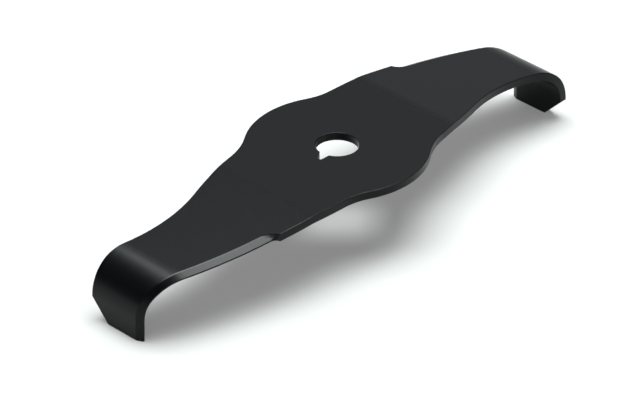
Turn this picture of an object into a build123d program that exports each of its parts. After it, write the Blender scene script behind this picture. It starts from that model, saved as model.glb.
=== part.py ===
import math
import os

from build123d import *

# Plate and hub, in mm. The origin is the bore's centre, halfway through the plate, +Z up.
# Everything is drawn with the upper face at Z = 0 and raised into place at the end.
PLATE = 4.0
HUB_RADIUS = 42.8
EDGE_BREAK = 0.3

# Bore, and the notch in its wall, whose outer two corners are rounded.
BORE_RADIUS = 10.0
BORE_EDGE = 0.3
NOTCH = ((-8.6, 2.35), (-14.8, -1.8), (-14.6, -3.9), (-8.6, -4.0))
NOTCH_ROUND = 0.7

# Side view of one arm, followed along the upper surface from the bore axis outwards.
TILT_START = 49.5
TILT_RADIUS = 30.0
ARM_TILT = 5.0
BEND_START = 117.7
BEND_RADIUS = 20.7
LEG_ANGLE = 88.6
LEG_LENGTH = 11.1

# Trailing edge: where it leaves the hub circle, then arcs of (radius, turn), + bulging out.
TRAILING_LEAVES_HUB = -53.33
TRAILING_ARCS = ((39.96, -24.71), (242.71, 7.66), (82.08, -34.23), (52.96, 14.61))
CORNER_CUT = 10.2

# Leading edge of the blank: where it leaves the hub circle, its hollow, and its long arc.
LEADING_LEAVES_HUB = 64.8
LEADING_HOLLOW = 31.4
LEADING_RADIUS = 284.0
LEADING_TURN = 9.0
BLANK_REACH = 150.0

# Ground cutting edge: a bevel on each face leaves a narrow land in the middle of the plate.
# Its line is followed along the upper surface: an arc, a straight, and an arc level with X.
# The ridge between each face and its bevel is broken by a sliver RIDGE_BREAK wide.
BEVEL_WIDTH = 3.1
LAND_TOP = 1.7
LAND = 0.8
GRIND_START = (60.0, 32.8)
GRIND_HEADING = -3.4
GRIND_RADIUS = 233.0
GRIND_TURN = 16.7
GRIND_STRAIGHT = 9.9
GRIND_LEVELLING = 39.8
GRIND_OVERRUN = 22.0
STATIONS = 24
BEVEL_REACH = 9.3
RIDGE_BREAK = 0.5
RIDGE_MARGIN = 1.0

# Rounded front of the grinding wheel, which leaves the flared step where the bevels begin.
# WHEEL_EDGE rounds the corner between that step and the bevels.
WHEEL_START = 71.6
WHEEL_CENTRE_Y = 35.7
WHEEL_RADIUS = 5.0
WHEEL_LEAVES = 20.0
WHEEL_FLARE = 50.0
WHEEL_EDGE = 8.0

# Larger than anything it has to cross.
CLEAR = 60.0


def skin(depth):
    """Half of the side view's line at one depth below the upper surface."""
    flat = Line((0, -depth), (TILT_START, -depth))
    tilt = JernArc(flat @ 1, flat % 1, TILT_RADIUS - depth, -ARM_TILT)
    arm_length = BEND_START - TILT_START - TILT_RADIUS * math.radians(ARM_TILT)
    arm = PolarLine(tilt @ 1, arm_length, direction=tilt % 1)
    bend = JernArc(arm @ 1, arm % 1, BEND_RADIUS - depth, ARM_TILT - LEG_ANGLE)
    return PolarLine(bend @ 1, LEG_LENGTH, direction=bend % 1)


def bent_strip():
    """The plate's side view, as wide as the blank."""
    with BuildPart() as strip:
        with BuildSketch(Plane.XZ):
            with BuildLine():
                upper_end = skin(0) @ 1
                lower_end = skin(PLATE) @ 1
                Line(upper_end, lower_end)
                mirror(about=Plane.YZ)
            make_face()
        extrude(amount=CLEAR, both=True)
    return strip.part


def half_outline():
    """Plan view of the right arm with its half of the hub circle."""
    sweep = 180 + TRAILING_LEAVES_HUB - LEADING_LEAVES_HUB
    with BuildLine() as half:
        hub = CenterArc((0, 0), HUB_RADIUS, LEADING_LEAVES_HUB, sweep)
        start = Vector(HUB_RADIUS, 0).rotate(Axis.Z, TRAILING_LEAVES_HUB)
        heading = Vector(0, 1).rotate(Axis.Z, TRAILING_LEAVES_HUB)
        for radius, turn in TRAILING_ARCS:
            arc = JernArc(start, heading, radius, turn)
            start, heading = arc @ 1, arc % 1
        side = Line(start, (BLANK_REACH, start.Y))
        hollow = JernArc(hub @ 0, -(hub % 0), LEADING_HOLLOW, 90 - LEADING_LEAVES_HUB)
        leading = JernArc(hollow @ 1, hollow % 1, LEADING_RADIUS, -LEADING_TURN)
        slope = leading % 1
        stock_length = (BLANK_REACH - (leading @ 1).X) / slope.X
        stock = PolarLine(leading @ 1, stock_length, direction=slope)
        Line(side @ 1, stock @ 1)
    return half.line


def plate_blank():
    """The bent plate cut to its outline, with the tips' corners off and its edges broken."""
    half = half_outline()
    plan = make_face(half.edges() + half.rotate(Axis.Z, 180).edges())
    blank = bent_strip() & extrude(plan, amount=-CLEAR)
    size = blank.bounding_box()
    foot = Vector(size.max.X, half.edges().sort_by(Axis.Y)[0].center().Y, size.min.Z)
    corners = [
        blank.edges().sort_by_distance(foot)[0],
        blank.edges().sort_by_distance(foot.rotate(Axis.Z, 180))[0],
    ]
    blank = chamfer(corners, CORNER_CUT)
    across = blank.edges().filter_by(Axis.Y)
    blank = fillet(across.filter_by(lambda edge: edge.center().Z < foot.Z + PLATE / 2), EDGE_BREAK)
    lines = blank.edges().filter_by(lambda edge: edge.length > LEG_LENGTH / 2)
    return fillet(lines - lines.filter_by(Axis.Y), EDGE_BREAK)


def ground_line():
    """Tip line of the ground edge: distance along the upper surface against Y."""
    with BuildLine() as line:
        heading = Vector(1, 0).rotate(Axis.Z, GRIND_HEADING)
        arc = JernArc(GRIND_START, heading, GRIND_RADIUS, -GRIND_TURN)
        straight = PolarLine(arc @ 1, GRIND_STRAIGHT, direction=arc % 1)
        level_turn = GRIND_TURN - GRIND_HEADING
        level = JernArc(straight @ 1, straight % 1, GRIND_LEVELLING, level_turn)
        PolarLine(level @ 1, GRIND_OVERRUN, direction=level % 1)
    return line.wire()


def surface_path():
    """The upper surface's line from the bore axis to past the end of the leg."""
    with BuildLine(Plane.XZ) as path:
        leg = skin(0)
        PolarLine(leg @ 1, GRIND_OVERRUN, direction=leg % 1)
    return path.wire()


def cross_plane(path, distance):
    """Plane across the arm there, its first axis along Y and its second out of the surface."""
    place = path.position_at(distance, position_mode=PositionMode.LENGTH)
    along = path.tangent_at(distance, position_mode=PositionMode.LENGTH)
    return Plane(place, x_dir=(0, 1, 0), z_dir=along)


def wheel_reach(path):
    """What the grinding wheel can reach, flaring away from the middle of the plate."""
    across = cross_plane(path, WHEEL_START)
    middle = across.origin - across.y_dir * (PLATE / 2)
    with BuildSketch(Plane(middle, x_dir=across.z_dir, z_dir=across.y_dir)) as reach:
        with BuildLine():
            front = Line((0, CLEAR), (0, WHEEL_CENTRE_Y))
            curve = JernArc(front @ 1, front % 1, WHEEL_RADIUS, 90 - WHEEL_LEAVES)
            length = BLANK_REACH / math.cos(math.radians(WHEEL_LEAVES))
            away = PolarLine(curve @ 1, length, direction=curve % 1)
            Polyline(away @ 1, (BLANK_REACH, CLEAR), front @ 0)
        make_face()
    upper = extrude(reach.sketch, amount=CLEAR, taper=-WHEEL_FLARE)
    lower = extrude(reach.sketch, amount=-CLEAR, taper=-WHEEL_FLARE)
    return upper + lower


def edge_sweep(path, section):
    """A section of (offset from the tip line, height) points carried along the ground edge."""
    line = ground_line()
    with BuildPart() as swept:
        for station in range(STATIONS + 1):
            spot = line @ (station / STATIONS)
            with BuildSketch(cross_plane(path, spot.X)):
                with BuildLine():
                    Polyline(*[(spot.Y + offset, height) for offset, height in section], close=True)
                make_face()
        loft()
    return swept.part


def front_corner(bevels, path, height):
    """Edges where the wheel's front leaves the bevel that passes through a height."""
    spot = ground_line() @ 0.5
    on_bevel = cross_plane(path, spot.X).from_local_coords((spot.Y - BEVEL_WIDTH / 2, height))
    bevel = bevels.faces().sort_by_distance(on_bevel)[0]
    return bevel.edges().sort_by(Axis.X)[:2]


def ridge_break(slope):
    """Section of the sliver taken off the ridge between the upper face and a bevel."""
    inner = -BEVEL_WIDTH - RIDGE_BREAK / 2 - RIDGE_MARGIN
    outer = -BEVEL_WIDTH + RIDGE_BREAK / 2 + RIDGE_MARGIN
    drop = (RIDGE_BREAK + RIDGE_MARGIN) * slope / 2
    rise = RIDGE_MARGIN * slope / 2
    return ((inner, rise), (outer, -drop), (outer, RIDGE_MARGIN), (inner, RIDGE_MARGIN))


def grinding():
    """The pieces of metal ground off one leading edge."""
    path = surface_path()
    reach = wheel_reach(path)
    upper_slope = LAND_TOP / BEVEL_WIDTH
    lower_depth = PLATE - LAND_TOP - LAND
    lower_slope = lower_depth / BEVEL_WIDTH
    section = (
        (0, -LAND_TOP),
        (-BEVEL_REACH, BEVEL_REACH * upper_slope - LAND_TOP),
        (CLEAR, BEVEL_REACH * upper_slope - LAND_TOP),
        (CLEAR, lower_depth - PLATE - BEVEL_REACH * lower_slope),
        (-BEVEL_REACH, lower_depth - PLATE - BEVEL_REACH * lower_slope),
        (0, lower_depth - PLATE),
    )
    bevels = edge_sweep(path, section) & reach
    corners = front_corner(bevels, path, -LAND_TOP / 2)
    corners += front_corner(bevels, path, lower_depth / 2 - PLATE)
    upper_ridge = ridge_break(upper_slope)
    lower_ridge = [(offset, -PLATE - height) for offset, height in ridge_break(lower_slope)]
    return [
        bevels.fillet(WHEEL_EDGE, corners),
        edge_sweep(path, upper_ridge) & reach,
        edge_sweep(path, lower_ridge) & reach,
    ]


def with_bore(plate):
    """The plate with its notched bore cut and the bore's rims rounded."""
    notch = make_face(Polyline(*NOTCH, close=True))
    tip = notch.vertices().sort_by(Axis.X)[:2]
    hole = Circle(BORE_RADIUS) + fillet(tip, NOTCH_ROUND)
    bored = plate - extrude(hole, amount=-PLATE)
    rims = bored.edges().filter_by(GeomType.CIRCLE)
    rims = rims.filter_by(lambda edge: math.isclose(edge.radius, BORE_RADIUS))
    return fillet(rims, BORE_EDGE)


os.makedirs("parts", exist_ok=True)
blade = with_bore(plate_blank())
for piece in grinding():
    blade = blade - piece - piece.rotate(Axis.Z, 180)
blade = Pos(0, 0, PLATE / 2) * blade
blade.label = "blade"
export_step(blade, "parts/blade.step")
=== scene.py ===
import math

import bmesh
import bpy
from mathutils import Matrix, Vector


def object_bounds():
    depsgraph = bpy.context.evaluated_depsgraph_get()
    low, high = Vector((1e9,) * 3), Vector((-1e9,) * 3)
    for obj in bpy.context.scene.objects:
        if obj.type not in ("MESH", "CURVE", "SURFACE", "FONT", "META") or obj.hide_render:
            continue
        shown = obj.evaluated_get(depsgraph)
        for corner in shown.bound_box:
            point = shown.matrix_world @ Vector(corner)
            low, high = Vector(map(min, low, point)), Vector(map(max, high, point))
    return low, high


bl_info = {
    "name": "Brush cutter blade",
    "version": (1, 0, 0),
    "blender": (4, 5, 0),
    "location": "View3D > Sidebar > Blade",
    "description": "Powder coats the blade and sets it up on a pale studio floor",
    "category": "Object",
}

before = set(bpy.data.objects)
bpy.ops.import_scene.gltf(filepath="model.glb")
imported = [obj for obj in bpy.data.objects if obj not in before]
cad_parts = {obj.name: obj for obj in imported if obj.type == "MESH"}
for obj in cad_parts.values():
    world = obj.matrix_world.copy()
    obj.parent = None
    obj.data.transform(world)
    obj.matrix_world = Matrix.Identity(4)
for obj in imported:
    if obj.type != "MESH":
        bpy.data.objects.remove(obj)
CAD_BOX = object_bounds()
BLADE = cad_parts["blade"]
FLOOR_LEVEL = CAD_BOX[0].z


class PowderCoatSettings(bpy.types.PropertyGroup):
    """The black powder coat that covers the whole blade."""

    color: bpy.props.FloatVectorProperty(
        name="Color",
        description="Color of the pigment, which is nearly black",
        subtype="COLOR",
        size=3,
        min=0.0,
        max=1.0,
        default=(0.0006, 0.0008, 0.0011),
    )
    pale_color: bpy.props.FloatVectorProperty(
        name="Pale Color",
        description="Color of the few specks of pigment that are paler than the rest",
        subtype="COLOR",
        size=3,
        min=0.0,
        max=1.0,
        default=(0.0016, 0.0018, 0.0021),
    )
    gloss: bpy.props.FloatProperty(
        name="Gloss",
        description="Strength of the reflection where the surface is looked at squarely",
        subtype="FACTOR",
        min=0.0,
        max=1.0,
        default=0.155,
    )
    roughness: bpy.props.FloatProperty(
        name="Roughness",
        description="Blur of the reflections on the open faces",
        subtype="FACTOR",
        min=0.0,
        max=1.0,
        default=0.32,
    )
    peel_size: bpy.props.FloatProperty(
        name="Peel Size",
        description="Width of the low waves in the cured powder",
        unit="LENGTH",
        min=0.0001,
        default=0.0016,
    )
    peel_depth: bpy.props.FloatProperty(
        name="Peel Depth",
        description="Height of those waves",
        unit="LENGTH",
        min=0.0,
        default=0.000004,
    )
    grain_size: bpy.props.FloatProperty(
        name="Grain Size",
        description="Width of the fine grain that dulls the gloss",
        unit="LENGTH",
        min=0.00005,
        default=0.00035,
    )
    grain_depth: bpy.props.FloatProperty(
        name="Grain Depth",
        description="Height of the fine grain",
        unit="LENGTH",
        min=0.0,
        default=0.0000012,
    )


class StageSettings(bpy.types.PropertyGroup):
    """The floor, the lights and the camera."""

    floor_color: bpy.props.FloatVectorProperty(
        name="Floor Color",
        description="Color of the studio floor",
        subtype="COLOR",
        size=3,
        min=0.0,
        max=1.0,
        default=(0.23, 0.23, 0.23),
    )
    floor_glow: bpy.props.FloatProperty(
        name="Floor Glow",
        description="Light that comes up through the translucent floor",
        default=0.15,
    )
    floor_width: bpy.props.FloatProperty(
        name="Floor Width",
        description="Width of the square studio floor",
        unit="LENGTH",
        default=12.0,
    )
    softbox_height: bpy.props.FloatProperty(
        name="Softbox Height",
        description="Height of the overhead softbox above the bore",
        unit="LENGTH",
        default=1.2,
    )
    softbox_width: bpy.props.FloatProperty(
        name="Softbox Width",
        description="Width of the softbox across the camera's view",
        unit="LENGTH",
        default=1.24,
    )
    softbox_depth: bpy.props.FloatProperty(
        name="Softbox Depth",
        description="Depth of the softbox along the camera's view",
        unit="LENGTH",
        default=0.912,
    )
    softbox_behind: bpy.props.FloatProperty(
        name="Softbox Behind",
        description="How far the softbox's middle lies behind the bore, seen from the camera",
        unit="LENGTH",
        default=0.216,
    )
    softbox_color: bpy.props.FloatVectorProperty(
        name="Softbox Color",
        description="Color of the softbox's light, which is slightly cool",
        subtype="COLOR",
        size=3,
        min=0.0,
        max=1.0,
        default=(0.94, 1.0, 0.985),
    )
    softbox_brightness: bpy.props.FloatProperty(
        name="Softbox Brightness",
        description="Radiance of the softbox",
        default=20.0,
    )
    backdrop_width: bpy.props.FloatProperty(
        name="Backdrop Width",
        description="Width of the pale backdrop behind the blade",
        unit="LENGTH",
        default=3.0,
    )
    backdrop_height: bpy.props.FloatProperty(
        name="Backdrop Height",
        description="Height of the backdrop above the floor",
        unit="LENGTH",
        default=1.6,
    )
    backdrop_distance: bpy.props.FloatProperty(
        name="Backdrop Distance",
        description="Distance from the bore to the backdrop",
        unit="LENGTH",
        default=2.2,
    )
    backdrop_brightness: bpy.props.FloatProperty(
        name="Backdrop Brightness",
        description="Radiance of the backdrop",
        default=0.6,
    )
    horizon_brightness: bpy.props.FloatProperty(
        name="Horizon Brightness",
        description="Radiance of the room's soft fill light near the floor",
        default=3.0,
    )
    ceiling_brightness: bpy.props.FloatProperty(
        name="Ceiling Brightness",
        description="Radiance of the room's soft fill light overhead",
        default=0.3,
    )
    view_azimuth: bpy.props.FloatProperty(
        name="View Azimuth",
        description="Direction that the camera looks in, turned from +Y",
        subtype="ANGLE",
        default=math.radians(-45.29),
    )
    view_elevation: bpy.props.FloatProperty(
        name="View Elevation",
        description="Height of the camera above the horizon",
        subtype="ANGLE",
        default=math.radians(32.39),
    )
    view_target: bpy.props.FloatVectorProperty(
        name="View Target",
        description="Point in the middle of the picture",
        subtype="TRANSLATION",
        unit="LENGTH",
        size=3,
        default=(-0.01453, -0.00332, -0.01996),
    )
    view_distance: bpy.props.FloatProperty(
        name="View Distance",
        description="Distance from the camera to that point",
        unit="LENGTH",
        default=2.0458,
    )
    focal_length: bpy.props.FloatProperty(
        name="Focal Length",
        description="Focal length of the camera in millimetres",
        default=252.75,
    )


def add_group(name, inputs, outputs):
    """An empty shader node group with its named sockets, and its two end nodes."""
    group = bpy.data.node_groups.new(name, "ShaderNodeTree")
    for label, kind in inputs:
        group.interface.new_socket(label, in_out="INPUT", socket_type=kind)
    for label, kind in outputs:
        group.interface.new_socket(label, in_out="OUTPUT", socket_type=kind)
    start = group.nodes.new("NodeGroupInput")
    end = group.nodes.new("NodeGroupOutput")
    return group, start, end


def add_noise(tree, coordinates, size, detail):
    """A noise pattern whose blotches are size wide."""
    scale = tree.nodes.new("ShaderNodeMath")
    scale.operation = "DIVIDE"
    scale.inputs[0].default_value = 1.0
    tree.links.new(size, scale.inputs[1])
    noise = tree.nodes.new("ShaderNodeTexNoise")
    noise.inputs["Detail"].default_value = detail
    tree.links.new(coordinates, noise.inputs["Vector"])
    tree.links.new(scale.outputs[0], noise.inputs["Scale"])
    return noise.outputs["Fac"]


def add_bump(tree, height, depth, normal=None):
    """A bump of that height pattern, laid over the one before it."""
    bump = tree.nodes.new("ShaderNodeBump")
    tree.links.new(height, bump.inputs["Height"])
    tree.links.new(depth, bump.inputs["Distance"])
    if normal is not None:
        tree.links.new(normal, bump.inputs["Normal"])
    return bump.outputs["Normal"]


def powder_relief_group():
    """Low waves with a fine grain on top, as powder leaves when it melts and cures."""
    group, start, end = add_group(
        "powder_relief",
        [
            ("Peel Size", "NodeSocketFloat"),
            ("Peel Depth", "NodeSocketFloat"),
            ("Grain Size", "NodeSocketFloat"),
            ("Grain Depth", "NodeSocketFloat"),
        ],
        [
            ("Normal", "NodeSocketVector"),
            ("Peel", "NodeSocketFloat"),
            ("Grain", "NodeSocketFloat"),
        ],
    )
    place = group.nodes.new("ShaderNodeTexCoord").outputs["Object"]
    peel = add_noise(group, place, start.outputs["Peel Size"], 1.5)
    grain = add_noise(group, place, start.outputs["Grain Size"], 2.0)
    waves = add_bump(group, peel, start.outputs["Peel Depth"])
    relief = add_bump(group, grain, start.outputs["Grain Depth"], waves)
    group.links.new(relief, end.inputs["Normal"])
    group.links.new(peel, end.inputs["Peel"])
    group.links.new(grain, end.inputs["Grain"])
    return group


def powder_coat(settings):
    """Black powder coat with its relief, pale specks and slightly uneven gloss."""
    material = bpy.data.materials.new("black_powder_coat")
    material.use_nodes = True
    tree = material.node_tree
    shader = tree.nodes["Principled BSDF"]
    shader.inputs["Specular IOR Level"].default_value = settings.gloss
    relief = tree.nodes.new("ShaderNodeGroup")
    relief.node_tree = powder_relief_group()
    relief.inputs["Peel Size"].default_value = settings.peel_size
    relief.inputs["Peel Depth"].default_value = settings.peel_depth
    relief.inputs["Grain Size"].default_value = settings.grain_size
    relief.inputs["Grain Depth"].default_value = settings.grain_depth
    specks = tree.nodes.new("ShaderNodeMapRange")
    specks.inputs["From Min"].default_value = 0.52
    specks.inputs["From Max"].default_value = 0.68
    tree.links.new(relief.outputs["Grain"], specks.inputs["Value"])
    pigment = tree.nodes.new("ShaderNodeMix")
    pigment.data_type = "RGBA"
    pigment.inputs["A"].default_value = (*settings.color, 1.0)
    pigment.inputs["B"].default_value = (*settings.pale_color, 1.0)
    tree.links.new(specks.outputs["Result"], pigment.inputs["Factor"])
    dulling = tree.nodes.new("ShaderNodeMapRange")
    dulling.inputs["To Min"].default_value = settings.roughness - 0.03
    dulling.inputs["To Max"].default_value = settings.roughness + 0.03
    tree.links.new(relief.outputs["Peel"], dulling.inputs["Value"])
    tree.links.new(pigment.outputs["Result"], shader.inputs["Base Color"])
    tree.links.new(dulling.outputs["Result"], shader.inputs["Roughness"])
    tree.links.new(relief.outputs["Normal"], shader.inputs["Normal"])
    return material


def floor_acrylic(color, glow):
    """Matt translucent sheet, lit a little from below."""
    material = bpy.data.materials.new("floor_acrylic")
    material.use_nodes = True
    shader = material.node_tree.nodes["Principled BSDF"]
    shader.inputs["Base Color"].default_value = (*color, 1.0)
    shader.inputs["Roughness"].default_value = 1.0
    shader.inputs["Specular IOR Level"].default_value = 0.0
    shader.inputs["Emission Color"].default_value = (1.0, 1.0, 1.0, 1.0)
    shader.inputs["Emission Strength"].default_value = glow
    return material


class BLADE_OT_coat_plate(bpy.types.Operator):
    """Give the bent and ground plate its black powder coat"""

    bl_idname = "blade.coat_plate"
    bl_label = "Coat the Plate"

    def execute(self, context):
        slots = BLADE.material_slots
        if not slots:
            raise RuntimeError("the blade has no material slot to take the coat")
        slots[0].material = powder_coat(context.scene.powder_coat)
        return {"FINISHED"}


class BLADE_OT_set_stage(bpy.types.Operator):
    """Lay the pale floor, hang the softbox, light the studio and place the camera"""

    bl_idname = "blade.set_stage"
    bl_label = "Set the Stage"

    def execute(self, context):
        settings = context.scene.blade_stage
        self.lay_floor(context, settings)
        self.hang_softbox(context, settings)
        self.stand_backdrop(context, settings)
        self.light_room(context, settings)
        self.place_camera(context, settings)
        return {"FINISHED"}

    def lay_floor(self, context, settings):
        form = bmesh.new()
        bmesh.ops.create_grid(form, x_segments=1, y_segments=1, size=settings.floor_width / 2)
        bmesh.ops.translate(form, verts=form.verts, vec=(0.0, 0.0, FLOOR_LEVEL))
        mesh = bpy.data.meshes.new("studio_floor")
        form.to_mesh(mesh)
        form.free()
        mesh.materials.append(floor_acrylic(settings.floor_color, settings.floor_glow))
        floor = bpy.data.objects.new("studio_floor", mesh)
        context.scene.collection.objects.link(floor)

    def hang_softbox(self, context, settings):
        panel = bpy.data.lights.new("softbox", "AREA")
        panel.shape = "RECTANGLE"
        panel.size = settings.softbox_width
        panel.size_y = settings.softbox_depth
        panel.energy = settings.softbox_brightness * math.pi * panel.size * panel.size_y
        panel.color = settings.softbox_color
        softbox = bpy.data.objects.new("softbox", panel)
        turn = Matrix.Rotation(settings.view_azimuth, 4, "Z")
        softbox.matrix_world = turn @ Matrix.Translation(
            (0.0, settings.softbox_behind, settings.softbox_height)
        )
        context.scene.collection.objects.link(softbox)

    def stand_backdrop(self, context, settings):
        panel = bpy.data.lights.new("backdrop", "AREA")
        panel.shape = "RECTANGLE"
        panel.size = settings.backdrop_width
        panel.size_y = settings.backdrop_height
        panel.energy = settings.backdrop_brightness * math.pi * panel.size * panel.size_y
        backdrop = bpy.data.objects.new("backdrop", panel)
        turn = Matrix.Rotation(settings.view_azimuth, 4, "Z")
        middle = (0.0, settings.backdrop_distance, FLOOR_LEVEL + panel.size_y / 2)
        upright = Matrix.Rotation(-math.pi / 2, 4, "X")
        backdrop.matrix_world = turn @ Matrix.Translation(middle) @ upright
        context.scene.collection.objects.link(backdrop)

    def light_room(self, context, settings):
        """A soft fill, brightest near the horizon, that the gloss doesn't mirror."""
        world = bpy.data.worlds.new("studio")
        world.use_nodes = True
        tree = world.node_tree
        direction = tree.nodes.new("ShaderNodeTexCoord")
        height = tree.nodes.new("ShaderNodeSeparateXYZ")
        tree.links.new(direction.outputs["Generated"], height.inputs["Vector"])
        fade = tree.nodes.new("ShaderNodeMapRange")
        fade.interpolation_type = "SMOOTHSTEP"
        fade.inputs["From Min"].default_value = 0.0
        fade.inputs["From Max"].default_value = 0.7
        fade.inputs["To Min"].default_value = settings.horizon_brightness
        fade.inputs["To Max"].default_value = settings.ceiling_brightness
        tree.links.new(height.outputs["Z"], fade.inputs["Value"])
        tree.links.new(fade.outputs["Result"], tree.nodes["Background"].inputs["Strength"])
        tree.nodes["Background"].inputs["Color"].default_value = (1.0, 1.0, 1.0, 1.0)
        world.cycles_visibility.glossy = False
        context.scene.world = world
        context.scene.view_settings.view_transform = "Standard"

    def place_camera(self, context, settings):
        azimuth, elevation = settings.view_azimuth, settings.view_elevation
        back = Vector(
            (
                math.sin(azimuth) * math.cos(elevation),
                -math.cos(azimuth) * math.cos(elevation),
                math.sin(elevation),
            )
        )
        lens = bpy.data.cameras.new("camera")
        lens.sensor_width = 36.0
        lens.lens = settings.focal_length
        camera = bpy.data.objects.new("camera", lens)
        camera.location = Vector(settings.view_target) + back * settings.view_distance
        camera.rotation_euler = (-back).to_track_quat("-Z", "Y").to_euler()
        context.scene.collection.objects.link(camera)
        context.scene.camera = camera


class BLADE_PT_workshop(bpy.types.Panel):
    """Lists the steps that finish the blade, with their settings"""

    bl_idname = "BLADE_PT_workshop"
    bl_label = "Brush Cutter Blade"
    bl_space_type = "VIEW_3D"
    bl_region_type = "UI"
    bl_category = "Blade"

    def draw(self, context):
        steps = (
            (BLADE_OT_coat_plate, context.scene.powder_coat),
            (BLADE_OT_set_stage, context.scene.blade_stage),
        )
        for step, settings in steps:
            box = self.layout.box()
            box.operator(step.bl_idname)
            for label in settings.bl_rna.properties.keys():
                if label not in {"rna_type", "name"}:
                    box.prop(settings, label)


CLASSES = (
    PowderCoatSettings,
    StageSettings,
    BLADE_OT_coat_plate,
    BLADE_OT_set_stage,
    BLADE_PT_workshop,
)


def register():
    for cls in CLASSES:
        bpy.utils.register_class(cls)
    bpy.types.Scene.powder_coat = bpy.props.PointerProperty(type=PowderCoatSettings)
    bpy.types.Scene.blade_stage = bpy.props.PointerProperty(type=StageSettings)


def unregister():
    del bpy.types.Scene.blade_stage
    del bpy.types.Scene.powder_coat
    for cls in reversed(CLASSES):
        bpy.utils.unregister_class(cls)


def main():
    register()
    bpy.ops.blade.coat_plate()
    bpy.ops.blade.set_stage()


if __name__ == "__main__":
    main()
